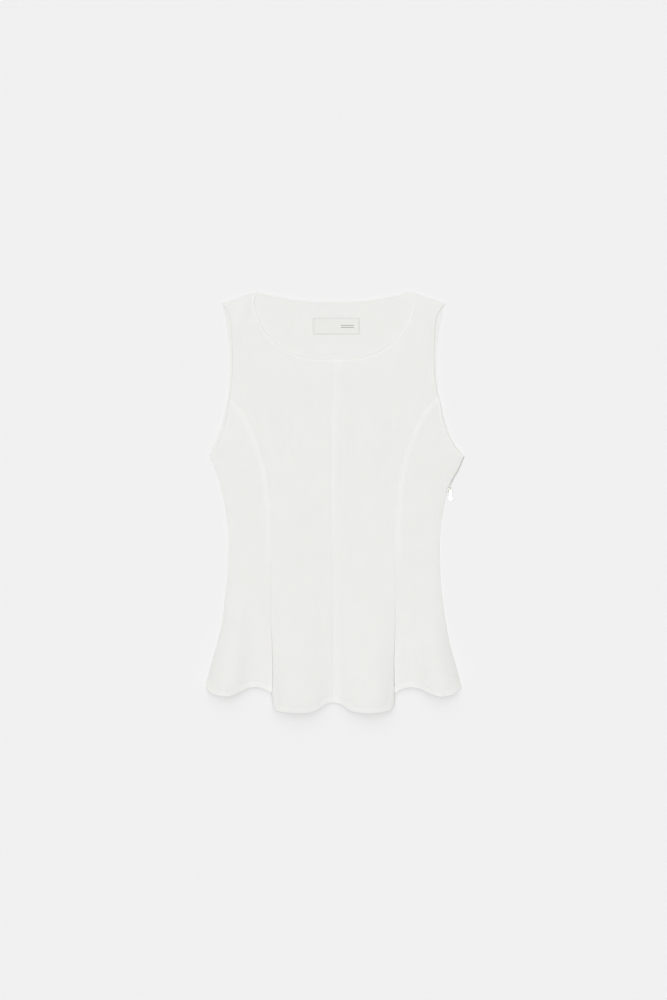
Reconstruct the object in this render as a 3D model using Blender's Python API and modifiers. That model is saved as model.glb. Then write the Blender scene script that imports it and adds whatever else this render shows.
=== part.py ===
# A sleeveless top with a scoop neck and a fluted hem, laid flat on its back.
# Four front gores lie on a one-piece back. The origin is under the middle of
# its box, +X is the wearer's left, +Y runs to the neck and +Z faces up.
import math

import bmesh
import bpy
import numpy as np
from mathutils import Matrix, Vector

MM = 0.001

# Driving sizes, in millimetres.
WALL = 1.2            # cloth with its turnings
SEAM_GAP = 0.3        # between two pieces that meet
CENTRE_X = -2.5       # the middle of the garment
BACK_TOP = WALL
FRONT_EDGE_TOP = BACK_TOP + SEAM_GAP + WALL
BODY_LIFT = 3.6       # how far the front stands off the back in the middle
CROWN_POWER = 5       # higher, and it stays level further out to the sides
SHOULDER_EASE = 45.0  # length over which it rises from the shoulder seam
NECK_EASE = 26.0      # length over which it rises from the neck edge
FLUTE_START_Y = -118.0
FLUTE_GROWTH = 1.1    # above 1, a flute opens slowly at first
HEM_ROLL = 0.2        # share of a flute's height that rolls down again at the hem
HEM_ROLL_LENGTH = 28.0

NECK_POINT = (111.7, 311.8)
SHOULDER_TIP = (164.5, 293.5)

LABEL_CENTRE = (1.9, 260.3)
LABEL_SIZE = (69.6, 23.7)
LABEL_THICK = 1.0
LABEL_EDGE = 0.3

# The zip is open down to its slider, which sits in a notch of the side seam.
ZIP_ROOM = 1.5        # room for the chain beside the cloth's edge
ZIP_ROOM_FROM = 8.0
ZIP_ROOM_FULL = 20.0
CHAIN_RADIUS = 0.5
CHAIN_INSIDE = 0.55
CHAIN_Z = 1.35
CHAIN_TOP_Y = 67.4
CHAIN_LOW_Y = 23.5
CHAIN_POINTS = 18
SLIDER_SIZE = (2.6, 6.4, 2.4)
SLIDER_CENTRE = (167.0, 18.0, 1.5)
SLIDER_TURN = math.radians(-18)
SLIDER_EDGE = 0.5
SEAT_REACH = 8.0
SEAT_HEIGHT = 9.6

# The pull hangs on a ring; the hinge runs through the ring's middle along X.
HINGE = (170.9, 19.8, 2.2)
RING_RADIUS = 1.3
RING_WIRE = 0.4
RING_STEPS = 24
RING_SIDES = 10
STEM_RADIUS = 0.35
PULL_THICK = 1.1
PULL_ROUNDING = 0.2
PULL_DROOP = math.radians(4.4)
PULL_OUTLINE = (      # distance from the hinge to the tip, half width
    (-0.45, 0.0),
    (-0.40, 0.70),
    (0.30, 1.45),
    (2.80, 1.50),
    (6.50, 1.65),
    (10.5, 2.25),
    (14.0, 2.70),
    (16.6, 2.30),
    (18.0, 1.20),
    (18.4, 0.0),
)
EYE_FROM = 0.4
EYE_TO = 3.0
EYE_HALF_WIDTH = 0.8
EYE_POINTS = 16

# Edges that differ between the wearer's right and left.
EDGE_COLUMNS = ("right_x", "left_x", "y")
BACK_ARMHOLE = (
    (-166.8, 163.2, 293.5),
    (-164.3, 160.7, 281.1),
    (-160.9, 157.2, 263.3),
    (-157.6, 153.3, 239.6),
    (-155.7, 151.8, 213.0),
    (-156.3, 152.4, 186.3),
    (-157.9, 154.8, 162.7),
    (-162.1, 159.5, 139.0),
    (-168.0, 166.5, 113.8),
    (-175.4, 174.6, 91.6),
    (-183.1, 186.0, 76.8),
    (-186.5, 192.0, 67.9),
)
FRONT_ARMHOLE = (
    (-166.6, 163.0, 293.4),
    (-161.3, 156.4, 285.5),
    (-156.9, 151.0, 276.6),
    (-153.9, 148.0, 263.3),
    (-152.4, 147.0, 239.6),
    (-151.4, 146.4, 213.0),
    (-152.3, 147.4, 186.3),
    (-155.3, 152.5, 155.3),
)
FRONT_LOWER_ARMHOLE = (
    (-155.3, 152.5, 155.3),
    (-156.9, 155.6, 144.9),
    (-163.4, 161.9, 113.8),
    (-174.6, 176.9, 82.7),
    (-186.3, 191.8, 67.9),
)
SIDE_SEAM = (
    (-186.5, 192.0, 67.9),
    (-182.0, 188.3, 59.1),
    (-176.9, 183.1, 47.2),
    (-171.7, 174.6, 32.4),
    (-168.0, 167.6, 17.6),
    (-164.3, 163.5, 2.8),
    (-159.5, 157.3, -26.8),
    (-157.2, 155.1, -56.4),
    (-157.9, 155.1, -86.0),
    (-159.8, 156.1, -115.6),
    (-163.1, 159.1, -145.2),
    (-166.5, 163.2, -174.8),
    (-173.2, 168.7, -204.4),
    (-181.6, 176.6, -234.0),
    (-187.7, 182.9, -256.2),
    (-191.8, 187.2, -273.9),
)

# Edges that are alike on both sides. Columns: distance from the middle, y.
PRINCESS_SEAM = (
    (153.9, 155.3),
    (137.8, 139.0),
    (124.3, 119.7),
    (114.9, 97.5),
    (105.5, 69.4),
    (96.6, 35.4),
    (93.0, -1.6),
    (91.4, -49.0),
    (92.0, -111.1),
    (92.2, -174.8),
    (90.1, -234.0),
    (91.0, -282.8),
)
FRONT_NECK = (
    (0.0, 211.5),
    (31.8, 211.8),
    (58.2, 218.3),
    (81.4, 231.3),
    (98.1, 248.9),
    (109.5, 268.5),
    (115.4, 285.5),
    (116.9, 298.8),
    NECK_POINT,
)
BACK_NECK = (
    (0.0, 296.9),
    (31.8, 297.6),
    (64.4, 301.2),
    (94.0, 306.9),
    NECK_POINT,
)
BACK_HEM = (
    (0.0, -281.4),
    (63.0, -279.5),
    (118.0, -272.5),
    (155.0, -271.5),
    (189.5, -273.9),
)

# The fluted hem. Columns: distance from the middle, y, rise over the flat cloth.
CENTRE_HEM = (
    (0.0, -296.9, 1.2),
    (5.0, -297.5, 2.0),
    (10.7, -299.0, 4.0),
    (16.0, -302.6, 6.2),
    (22.5, -307.0, 8.6),
    (30.0, -309.9, 10.9),
    (37.3, -311.4, 12.7),
    (45.0, -312.0, 14.0),
    (52.1, -312.0, 14.8),
    (60.0, -311.7, 14.9),
    (67.4, -311.2, 14.0),
    (74.0, -310.4, 12.0),
    (80.0, -309.4, 9.4),
    (85.0, -307.8, 6.6),
    (88.3, -303.5, 4.6),
    (90.2, -294.0, 2.9),
    (91.0, -282.8, 1.5),
)
SIDE_HEM = (
    (91.0, -282.8, 1.5),
    (97.0, -279.5, 2.6),
    (104.0, -276.4, 3.4),
    (112.0, -274.5, 3.6),
    (120.0, -274.3, 3.6),
    (129.0, -276.9, 5.2),
    (137.9, -281.3, 8.4),
    (146.8, -285.0, 11.6),
    (155.7, -287.2, 13.4),
    (162.0, -287.4, 13.6),
    (168.0, -286.8, 12.6),
    (175.0, -285.2, 9.8),
    (182.0, -281.8, 5.6),
    (189.5, -273.9, 0.0),
)

# The centre seam. Columns: x from the middle, y.
CENTRE_FRONT = (
    (1.0, 211.5),
    (-1.5, 130.0),
    (-1.9, -30.0),
    (-1.4, -150.0),
    (0.0, -296.9),
)

# How many cells each panel has across and along it.
CENTRE_CELLS = {"across": 15, "upper": 11, "lower": 27}
SIDE_CELLS = {"across": 11, "along": 29}
BACK_CELLS = {"neck": 4, "shoulder": 2, "upper": 13, "lower": 29}
SIDE_SEAM_END = {-1: (-191.8, -273.9), 1: (187.2, -273.9)}

SPAN_STEPS = 16       # points worked out between two rows of a table
GAP_FADE = 6          # a seam's gap is felt only close to the panel's edge

CLOTH_COLOUR = (0.86, 0.86, 0.83)
LABEL_COLOUR = (0.88, 0.88, 0.85)
METAL_COLOUR = (0.62, 0.61, 0.57)
CHAIN_COLOUR = (0.50, 0.49, 0.45)


def smooth_curve(rows):
    """A smooth line through the rows, as many close points."""
    points = np.array(rows, float)
    if len(points) == 2:
        share = np.linspace(0, 1, SPAN_STEPS + 1)[:, None]
        return points[0] * (1 - share) + points[1] * share
    knots = np.concatenate([[0], np.cumsum(np.linalg.norm(np.diff(points, axis=0), axis=1) ** 0.5)])
    slopes = np.empty_like(points)
    spans = np.diff(knots)[:, None]
    steps = np.diff(points, axis=0) / spans
    slopes[1:-1] = (steps[:-1] * spans[1:] + steps[1:] * spans[:-1]) / (spans[1:] + spans[:-1])
    slopes[0] = 2 * steps[0] - slopes[1]
    slopes[-1] = 2 * steps[-1] - slopes[-2]
    made = []
    for start in range(len(points) - 1):
        share = np.linspace(0, 1, SPAN_STEPS + 1)[: None if start == len(points) - 2 else -1, None]
        span = spans[start]
        made.append(
            (2 * share**3 - 3 * share**2 + 1) * points[start]
            + (share**3 - 2 * share**2 + share) * span * slopes[start]
            + (3 * share**2 - 2 * share**3) * points[start + 1]
            + (share**3 - share**2) * span * slopes[start + 1]
        )
    return np.concatenate(made)


def evenly(line, cells):
    """The same line as cells + 1 points at equal steps along it."""
    run = np.concatenate([[0], np.cumsum(np.linalg.norm(np.diff(line, axis=0), axis=1))])
    at = np.linspace(0, run[-1], cells + 1)
    return np.stack([np.interp(at, run, column) for column in line.T], axis=1)


def joined(first, second):
    return np.concatenate([first, second[1:]])


def one_side(rows, side):
    """A table with right and left columns, as x, y rows of one side."""
    x = EDGE_COLUMNS.index("right_x" if side < 0 else "left_x")
    y = EDGE_COLUMNS.index("y")
    return [(row[x], row[y]) for row in rows]


def from_middle(rows, side):
    """A table of half widths, as x, y rows of one side, with any rise kept."""
    return [(CENTRE_X + side * row[0], *row[1:]) for row in rows]


def outer_x(y, side):
    """The garment's outer edge at a height, armhole or side seam."""
    rows = one_side(BACK_ARMHOLE, side) + one_side(SIDE_SEAM, side)[1:]
    line = np.array(rows)
    return np.interp(-y, -line[:, 1], line[:, 0])


def body_lift(x, y):
    """How far the front's cloth stands over its edge height, without flutes."""
    right = outer_x(y, -1)
    left = outer_x(y, 1)
    across = (2 * x - right - left) / (left - right)
    crown = 1 - np.clip(np.abs(across), 0, 1) ** CROWN_POWER
    slope = (SHOULDER_TIP[1] - NECK_POINT[1]) / (SHOULDER_TIP[0] - NECK_POINT[0])
    shoulder_y = NECK_POINT[1] + slope * (np.abs(x - CENTRE_X) - NECK_POINT[0])
    below = np.clip((shoulder_y - y) / SHOULDER_EASE, 0, 1)
    neck = smooth_curve(from_middle(FRONT_NECK, 1))
    from_neck = np.full(np.shape(x), np.inf)
    for neck_x, neck_y in neck:
        from_neck = np.minimum(from_neck, np.hypot(np.abs(x - CENTRE_X) + CENTRE_X - neck_x, y - neck_y))
    inside = np.clip(from_neck / NECK_EASE, 0, 1)
    return BODY_LIFT * crown * below * (2 - below) * inside * (2 - inside)


def filled(top, bottom, inner, outer):
    """Points of a panel between its four edges, indexed across then along."""
    u = np.linspace(0, 1, len(top))[:, None, None]
    v = np.linspace(0, 1, len(inner))[None, :, None]
    corners = (
        (1 - u) * (1 - v) * top[0]
        + u * (1 - v) * top[-1]
        + (1 - u) * v * bottom[0]
        + u * v * bottom[-1]
    )
    return (
        (1 - v) * top[:, None]
        + v * bottom[:, None]
        + (1 - u) * inner[None]
        + u * outer[None]
        - corners
    )


def front_points(top, hem, inner, outer):
    """A front panel's outer face in x, y, z, from its plan and its hem's rise."""
    plan = filled(top, hem[:, :2], inner, outer)
    x, y = plan[..., 0], plan[..., 1]
    hem_y = hem[:, None, 1]
    open_share = np.clip((FLUTE_START_Y - y) / (FLUTE_START_Y - hem_y), 0, 1) ** FLUTE_GROWTH
    rolled = np.clip((hem_y + HEM_ROLL_LENGTH - y) / HEM_ROLL_LENGTH, 0, 1) ** 2
    rise = hem[:, None, 2] * open_share * (1 - HEM_ROLL * rolled)
    z = FRONT_EDGE_TOP + body_lift(x, y) * (1 - open_share) + rise
    return np.dstack([x, y, z])


def zip_room(y, side):
    """How far the cloth's edge is set in beside the open end of the zip."""
    if side < 0:
        return np.zeros_like(y)
    share = np.clip((y - ZIP_ROOM_FROM) / (ZIP_ROOM_FULL - ZIP_ROOM_FROM), 0, 1)
    return ZIP_ROOM * share * share * (3 - 2 * share)


def inset(points, inner_gap, outer_gap, side):
    """Moves a panel's long edges in, so that a seam's two pieces stay apart."""
    share = np.linspace(0, 1, len(points))[:, None]
    near_inner = (1 - share) ** GAP_FADE
    near_outer = share**GAP_FADE
    points[..., 0] += side * (inner_gap * near_inner - outer_gap * near_outer)
    return points


def centre_panel(side):
    neck = smooth_curve(from_middle(FRONT_NECK, side))[::-1]
    middle_line = smooth_curve(from_middle(CENTRE_FRONT, 1))
    neck[-1] = middle_line[0]
    inner = joined(evenly(neck, CENTRE_CELLS["upper"]), evenly(middle_line, CENTRE_CELLS["lower"]))
    armhole = evenly(smooth_curve(one_side(FRONT_ARMHOLE, side)), CENTRE_CELLS["upper"])
    princess = smooth_curve(from_middle(PRINCESS_SEAM, side))
    princess[0] = armhole[-1]
    outer = joined(armhole, evenly(princess, CENTRE_CELLS["lower"]))
    shoulder = evenly(np.array([inner[0], outer[0]]), CENTRE_CELLS["across"])
    hem = evenly(smooth_curve(from_middle(CENTRE_HEM, side)), CENTRE_CELLS["across"])
    points = front_points(shoulder, hem, inner, outer)
    along = np.arange(points.shape[1])
    at_seam = along >= CENTRE_CELLS["upper"]
    half_gap = SEAM_GAP / 2 * at_seam
    return inset(points, half_gap, half_gap, side)


def side_panel(side):
    armhole = smooth_curve(one_side(FRONT_LOWER_ARMHOLE, side))
    princess = smooth_curve(from_middle(PRINCESS_SEAM, side))
    side_seam = smooth_curve(one_side(SIDE_SEAM, side))
    princess[0] = armhole[0]
    armhole[-1] = side_seam[0]
    hem_rows = from_middle(SIDE_HEM, side)
    hem_rows[-1] = (*SIDE_SEAM_END[side], 0.0)
    points = front_points(
        evenly(armhole, SIDE_CELLS["across"]),
        evenly(smooth_curve(hem_rows), SIDE_CELLS["across"]),
        evenly(princess, SIDE_CELLS["along"]),
        evenly(side_seam, SIDE_CELLS["along"]),
    )
    return inset(points, SEAM_GAP / 2, zip_room(points[-1, :, 1], side), side)


def back_half(side):
    """One half of the back, from its straight middle line to the outer edge."""
    neck = evenly(smooth_curve(from_middle(BACK_NECK, side)), BACK_CELLS["neck"])
    armhole = smooth_curve(one_side(BACK_ARMHOLE, side))
    side_seam = smooth_curve(one_side(SIDE_SEAM, side))
    outer = joined(evenly(armhole, BACK_CELLS["upper"]), evenly(side_seam, BACK_CELLS["lower"]))
    shoulder = evenly(np.array([neck[-1], outer[0]]), BACK_CELLS["shoulder"])
    hem_rows = from_middle(BACK_HEM, side)
    hem_rows[-1] = SIDE_SEAM_END[side]
    hem = evenly(smooth_curve(hem_rows), BACK_CELLS["neck"] + BACK_CELLS["shoulder"])
    armpit = (CENTRE_X, side_seam[0][1])
    above = evenly(np.array([neck[0], armpit]), BACK_CELLS["upper"])
    below = evenly(np.array([armpit, hem[0]]), BACK_CELLS["lower"])
    plan = filled(joined(neck, shoulder), hem, joined(above, below), outer)
    points = np.dstack([plan, np.full(plan.shape[:2], BACK_TOP)])
    return inset(points, 0, zip_room(points[-1, :, 1], side), side)


def back_panel():
    """The whole back, from the wearer's right to the left."""
    return joined(back_half(-1)[::-1], back_half(1))


def material(name, colour, roughness, metallic=0.0):
    made = bpy.data.materials.new(name)
    made.use_nodes = True
    shader = made.node_tree.nodes["Principled BSDF"]
    shader.inputs["Base Color"].default_value = (*colour, 1)
    shader.inputs["Roughness"].default_value = roughness
    shader.inputs["Metallic"].default_value = metallic
    return made


def add_object(name, data, finish, collection):
    made = bpy.data.objects.new(name, data)
    made.data.materials.append(finish)
    collection.objects.link(made)
    return made


def cloth_panel(name, points, side, finish, collection):
    """A panel's outer face as a grid of its points, made a wall below it."""
    across, along = points.shape[0] - 1, points.shape[1] - 1
    grid = bmesh.new()
    bmesh.ops.create_grid(grid, x_segments=across, y_segments=along, size=0.5)
    for vertex in grid.verts:
        column = round((vertex.co.x + 0.5) * across)
        row = round((vertex.co.y + 0.5) * along)
        vertex.co = Vector(points[column, row] * MM)
    grid.normal_update()
    if side > 0:
        bmesh.ops.reverse_faces(grid, faces=grid.faces)
    mesh = bpy.data.meshes.new(name)
    grid.to_mesh(mesh)
    grid.free()
    mesh.shade_smooth()
    panel = add_object(name, mesh, finish, collection)
    wall = panel.modifiers.new("Wall", "SOLIDIFY")
    wall.thickness = WALL * MM
    wall.offset = -1
    return panel


def rounded_box(name, size, centre, edge, finish, collection, turn=0.0):
    box = bmesh.new()
    bmesh.ops.create_cube(box, size=1)
    bmesh.ops.scale(box, vec=Vector(size) * MM, verts=box.verts)
    mesh = bpy.data.meshes.new(name)
    box.to_mesh(mesh)
    box.free()
    made = add_object(name, mesh, finish, collection)
    made.location = Vector(centre) * MM
    made.rotation_euler = (0, 0, turn)
    if edge:
        rounding = made.modifiers.new("Rounded edges", "BEVEL")
        rounding.width = edge * MM
        rounding.segments = 2
    return made


def combine(target, tool, operation):
    cut = target.modifiers.new(tool.name, "BOOLEAN")
    cut.operation = operation
    cut.object = tool
    cut.solver = "EXACT"


def zip_chain(finish, collection):
    """The open chain, one bead of cloth and coil along the armpit end."""
    line = smooth_curve(one_side(SIDE_SEAM, 1))
    heights = np.linspace(CHAIN_TOP_Y, CHAIN_LOW_Y, CHAIN_POINTS)
    path = bpy.data.curves.new("zip_chain", "CURVE")
    path.dimensions = "3D"
    path.bevel_depth = CHAIN_RADIUS * MM
    path.bevel_resolution = 1
    path.use_fill_caps = True
    spline = path.splines.new("POLY")
    spline.points.add(CHAIN_POINTS - 1)
    for point, y in zip(spline.points, heights):
        x = np.interp(-y, -line[:, 1], line[:, 0]) - CHAIN_INSIDE
        point.co = (x * MM, y * MM, CHAIN_Z * MM, 1)
    return add_object("zip_chain", path, finish, collection)


def zip_slider(finish, collection, cutters):
    """The slider's body, with the ring that carries the pull on a short stem."""
    body = rounded_box("zip_slider", SLIDER_SIZE, SLIDER_CENTRE, SLIDER_EDGE, finish, collection, SLIDER_TURN)
    loop = bmesh.new()
    profile = bmesh.ops.create_circle(loop, cap_ends=False, segments=RING_SIDES, radius=RING_WIRE * MM)
    turned = Matrix.Rotation(math.pi / 2, 3, "Y")
    bmesh.ops.rotate(loop, matrix=turned, verts=profile["verts"])
    bmesh.ops.rotate(loop, matrix=Matrix.Rotation(math.pi / 2, 3, "Z"), verts=profile["verts"])
    bmesh.ops.translate(loop, vec=Vector((0, 0, RING_RADIUS * MM)), verts=profile["verts"])
    bmesh.ops.spin(
        loop,
        geom=loop.verts[:] + loop.edges[:],
        axis=(1, 0, 0),
        cent=(0, 0, 0),
        steps=RING_STEPS,
        angle=2 * math.pi,
    )
    bmesh.ops.remove_doubles(loop, verts=loop.verts, dist=0.01 * MM)
    bmesh.ops.recalc_face_normals(loop, faces=loop.faces)
    ring_mesh = bpy.data.meshes.new("pull_ring")
    loop.to_mesh(ring_mesh)
    loop.free()
    ring = add_object("pull_ring", ring_mesh, finish, cutters)
    ring.location = Vector(HINGE) * MM
    start = SLIDER_CENTRE[0]
    stem_mesh = bpy.data.meshes.new("ring_stem")
    stem = bmesh.new()
    bmesh.ops.create_cone(
        stem,
        cap_ends=True,
        segments=RING_SIDES,
        radius1=STEM_RADIUS * MM,
        radius2=STEM_RADIUS * MM,
        depth=(HINGE[0] - start) * MM,
    )
    bmesh.ops.rotate(stem, matrix=turned, verts=stem.verts)
    stem.to_mesh(stem_mesh)
    stem.free()
    bar = add_object("ring_stem", stem_mesh, finish, cutters)
    bar.location = Vector(((start + HINGE[0]) / 2, HINGE[1], HINGE[2] - RING_RADIUS)) * MM
    for helper in (ring, bar):
        helper.hide_render = True
        helper.display_type = "WIRE"
        combine(body, helper, "UNION")
    return body


def zip_pull(finish, collection):
    """A flat drop with an eye at its narrow end, its origin on the hinge."""
    half = smooth_curve(PULL_OUTLINE)[:: SPAN_STEPS // 4]
    outline = [(-width, -along) for along, width in half]
    outline += [(width, -along) for along, width in half[-2:0:-1]]
    angles = np.linspace(0, 2 * math.pi, EYE_POINTS, endpoint=False)
    middle = (EYE_FROM + EYE_TO) / 2
    reach = (EYE_TO - EYE_FROM) / 2
    eye = [(EYE_HALF_WIDTH * math.cos(a), -middle + reach * math.sin(a)) for a in angles]
    drop = bpy.data.curves.new("zip_pull", "CURVE")
    drop.dimensions = "2D"
    drop.fill_mode = "BOTH"
    drop.extrude = (PULL_THICK / 2 - PULL_ROUNDING) * MM
    drop.bevel_depth = PULL_ROUNDING * MM
    drop.bevel_resolution = 1
    drop.offset = -PULL_ROUNDING * MM
    for points in (outline, eye):
        spline = drop.splines.new("POLY")
        spline.use_cyclic_u = True
        spline.points.add(len(points) - 1)
        for point, (x, y) in zip(spline.points, points):
            point.co = (x * MM, y * MM, 0, 1)
    pull = add_object("zip_pull", drop, finish, collection)
    pull.location = Vector(HINGE) * MM
    pull.rotation_euler = (PULL_DROOP, 0, 0)
    return pull


def build():
    for leftover in list(bpy.data.objects):
        bpy.data.objects.remove(leftover)
    garment = bpy.data.collections.new("Peplum top")
    cutters = bpy.data.collections.new("Cutters")
    bpy.context.scene.collection.children.link(garment)
    bpy.context.scene.collection.children.link(cutters)
    cutters.hide_render = True
    metal = material("zip_metal", METAL_COLOUR, 0.3, 1.0)
    edge_cloth = []
    for side, name in ((-1, "right"), (1, "left")):
        for kind, make in (("front_centre", centre_panel), ("front_side", side_panel)):
            finish = material(f"{kind}_{name}_cloth", CLOTH_COLOUR, 0.9)
            panel = cloth_panel(f"{kind}_{name}", make(side), side, finish, garment)
            if panel.name == "front_side_left":
                edge_cloth.append(panel)
    back_finish = material("back_cloth", CLOTH_COLOUR, 0.9)
    edge_cloth.append(cloth_panel("back", back_panel(), 1, back_finish, garment))
    rounded_box(
        "neck_label",
        (*LABEL_SIZE, LABEL_THICK),
        (*LABEL_CENTRE, BACK_TOP + SEAM_GAP + LABEL_THICK / 2),
        LABEL_EDGE,
        material("label_satin", LABEL_COLOUR, 0.5),
        garment,
    )
    zip_chain(material("zip_coil", CHAIN_COLOUR, 0.6), garment)
    zip_slider(metal, garment, cutters)
    zip_pull(material("pull_metal", METAL_COLOUR, 0.3, 1.0), garment)
    seat_size = (SEAT_REACH, SLIDER_SIZE[1] + 2 * SEAM_GAP, SEAT_HEIGHT)
    seat_shift = (SEAT_REACH - SLIDER_SIZE[0]) / 2 - SEAM_GAP
    seat_centre = (
        SLIDER_CENTRE[0] + seat_shift * math.cos(SLIDER_TURN),
        SLIDER_CENTRE[1] + seat_shift * math.sin(SLIDER_TURN),
        SLIDER_CENTRE[2],
    )
    seat = rounded_box("slider_seat", seat_size, seat_centre, 0, metal, cutters, SLIDER_TURN)
    seat.hide_render = True
    seat.display_type = "WIRE"
    for panel in edge_cloth:
        combine(panel, seat, "DIFFERENCE")


build()
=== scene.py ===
import math

import bpy
import numpy as np
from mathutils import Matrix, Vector


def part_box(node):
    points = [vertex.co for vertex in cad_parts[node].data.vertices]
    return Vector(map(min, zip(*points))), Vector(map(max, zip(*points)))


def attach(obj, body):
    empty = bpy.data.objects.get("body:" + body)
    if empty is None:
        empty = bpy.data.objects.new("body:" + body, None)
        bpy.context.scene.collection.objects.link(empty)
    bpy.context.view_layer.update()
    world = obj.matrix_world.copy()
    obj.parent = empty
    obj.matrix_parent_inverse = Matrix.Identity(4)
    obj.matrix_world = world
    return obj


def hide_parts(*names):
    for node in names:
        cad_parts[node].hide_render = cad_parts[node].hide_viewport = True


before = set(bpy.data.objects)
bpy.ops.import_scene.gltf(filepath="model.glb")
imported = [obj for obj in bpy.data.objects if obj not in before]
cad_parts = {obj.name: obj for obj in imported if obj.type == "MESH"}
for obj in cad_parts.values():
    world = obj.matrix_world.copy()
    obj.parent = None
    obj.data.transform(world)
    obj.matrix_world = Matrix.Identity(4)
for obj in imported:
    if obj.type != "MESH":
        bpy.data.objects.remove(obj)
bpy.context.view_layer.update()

# The back
# One piece of off-white crepe from neck to hem, shaped by two long darts. The
# garment lies on it, so its outer face is flat; the inside shows at the neck.
MM = 0.001
SEAM_TOUCH = 0.03     # what is left between two edges that a seam joins
CENTRE_X = -2.5
NECK_POINT = (111.7, 311.8)
TURNED_EDGE = 3.6     # width of the turned neck and armhole edges
TURNED_HEM = 8.8      # width of the turned hem
TURNING = 0.28        # how much a turned layer raises the cloth
BACK_INSIDE = 0.9     # height of the back's inner face
EDGE_ROUND = 0.45     # radius of a folded edge
LAYER_END = 0.25      # how softly a turned layer ends
GROOVE_DEPTH = 0.16   # of the line along a seam or a row of stitches
GROOVE_WIDTH = 0.7
BACK_TURNING = 0.2
BACK_ARMHOLE_TURNING = 0.14
BACK_UNEVENNESS = 0.05
CLOSE_TO_EDGE = (0.08, 0.25, 0.45, 0.9, 1.7, 2.8, 3.6, 4.4)
CLOSE_TO_HEM = (0.08, 0.25, 0.45, 1.2, 2.6, 4.4, 6.2, 7.4, 8.1, 8.8, 9.5, 10.4)
STEPS_PER_SPAN = 24

# Edges that differ between the wearer's right and left.
EDGE_COLUMNS = ("right_x", "left_x", "y")
BACK_ARMHOLE = (
    (-166.8, 163.2, 293.5),
    (-164.3, 160.7, 281.1),
    (-160.9, 157.2, 263.3),
    (-157.6, 153.3, 239.6),
    (-155.7, 151.8, 213.0),
    (-156.3, 152.4, 186.3),
    (-157.9, 154.8, 162.7),
    (-162.1, 159.5, 139.0),
    (-168.0, 166.5, 113.8),
    (-175.4, 174.6, 91.6),
    (-183.1, 186.0, 76.8),
    (-186.5, 192.0, 67.9),
)
SIDE_SEAM = (
    (-186.5, 192.0, 67.9),
    (-182.0, 188.3, 59.1),
    (-176.9, 183.1, 47.2),
    (-171.7, 174.6, 32.4),
    (-168.0, 167.6, 17.6),
    (-164.3, 163.5, 2.8),
    (-159.5, 157.3, -26.8),
    (-157.2, 155.1, -56.4),
    (-157.9, 155.1, -86.0),
    (-159.8, 156.1, -115.6),
    (-163.1, 159.1, -145.2),
    (-166.5, 163.2, -174.8),
    (-173.2, 168.7, -204.4),
    (-181.6, 176.6, -234.0),
    (-187.7, 182.9, -256.2),
    (-191.8, 187.2, -273.9),
)
# Edges that are alike on both sides. Columns: distance from the middle, y.
BACK_NECK = (
    (0.0, 296.9),
    (31.8, 297.6),
    (64.4, 301.2),
    (94.0, 306.9),
    NECK_POINT,
)
BACK_HEM = (
    (0.0, -281.4),
    (63.0, -279.5),
    (118.0, -272.5),
    (155.0, -271.5),
    (189.5, -273.9),
)
BACK_DART = (
    (92.0, 62.0),
    (86.0, -60.0),
    (90.0, -190.0),
)
# The side seam is set in beside the open end of the zip.
ZIP_ROOM = 1.5
ZIP_ROOM_FROM = 8.0
ZIP_ROOM_FULL = 20.0


def smooth_line(rows):
    """A smooth line through the rows, as many close points."""
    points = np.array(rows, float)
    shares = np.linspace(0, 1, STEPS_PER_SPAN + 1)[:, None]
    if len(points) == 2:
        return points[0] * (1 - shares) + points[1] * shares
    steps = np.diff(points, axis=0)
    spans = (np.linalg.norm(steps, axis=1) ** 0.5)[:, None]
    pace = steps / spans
    slopes = np.empty_like(points)
    slopes[1:-1] = (pace[:-1] * spans[1:] + pace[1:] * spans[:-1]) / (spans[1:] + spans[:-1])
    slopes[0] = 2 * pace[0] - slopes[1]
    slopes[-1] = 2 * pace[-1] - slopes[-2]
    made = []
    for start, span in enumerate(spans):
        t = shares if start == len(spans) - 1 else shares[:-1]
        made.append(
            (2 * t**3 - 3 * t**2 + 1) * points[start]
            + (t**3 - 2 * t**2 + t) * span * slopes[start]
            + (3 * t**2 - 2 * t**3) * points[start + 1]
            + (t**3 - t**2) * span * slopes[start + 1]
        )
    return np.concatenate(made)


def length_of(line):
    return float(np.linalg.norm(np.diff(line, axis=0), axis=1).sum())


def along(line, shares):
    """Points of a line at shares of its length."""
    run = np.concatenate([[0], np.cumsum(np.linalg.norm(np.diff(line, axis=0), axis=1))])
    return np.stack([np.interp(np.asarray(shares) * run[-1], run, column) for column in line.T], axis=1)


def stations(length, cells, close_start=(), close_end=()):
    """Shares of a length, even but for extra ones close to either end."""
    even = np.linspace(0, 1, cells + 1)
    first = np.array(close_start, float) / length
    last = 1 - np.array(close_end, float) / length
    low = first.max() if len(first) else 0
    high = last.min() if len(last) else 1
    margin = 0.35 / cells
    kept = even[(even > low + margin) & (even < high - margin)]
    return np.unique(np.concatenate([[0, 1], first, last, kept]))


def one_side(rows, side):
    """A table with right and left columns, as x, y rows of one side."""
    x = EDGE_COLUMNS.index("right_x" if side < 0 else "left_x")
    y = EDGE_COLUMNS.index("y")
    return [(row[x], row[y]) for row in rows]


def from_middle(rows, side):
    """A table of distances from the middle, as x, y rows of one side."""
    return [(CENTRE_X + side * row[0], *row[1:]) for row in rows]


def between_edges(top, bottom, inner, outer, u, v):
    """Points between a panel's four cut edges, indexed across then along."""
    u = u[:, None, None]
    v = v[None, :, None]
    corners = (
        (1 - u) * (1 - v) * top[0]
        + u * (1 - v) * top[-1]
        + (1 - u) * v * bottom[0]
        + u * v * bottom[-1]
    )
    return (
        (1 - v) * top[:, None]
        + v * bottom[:, None]
        + (1 - u) * inner[None]
        + u * outer[None]
        - corners
    )


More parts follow.
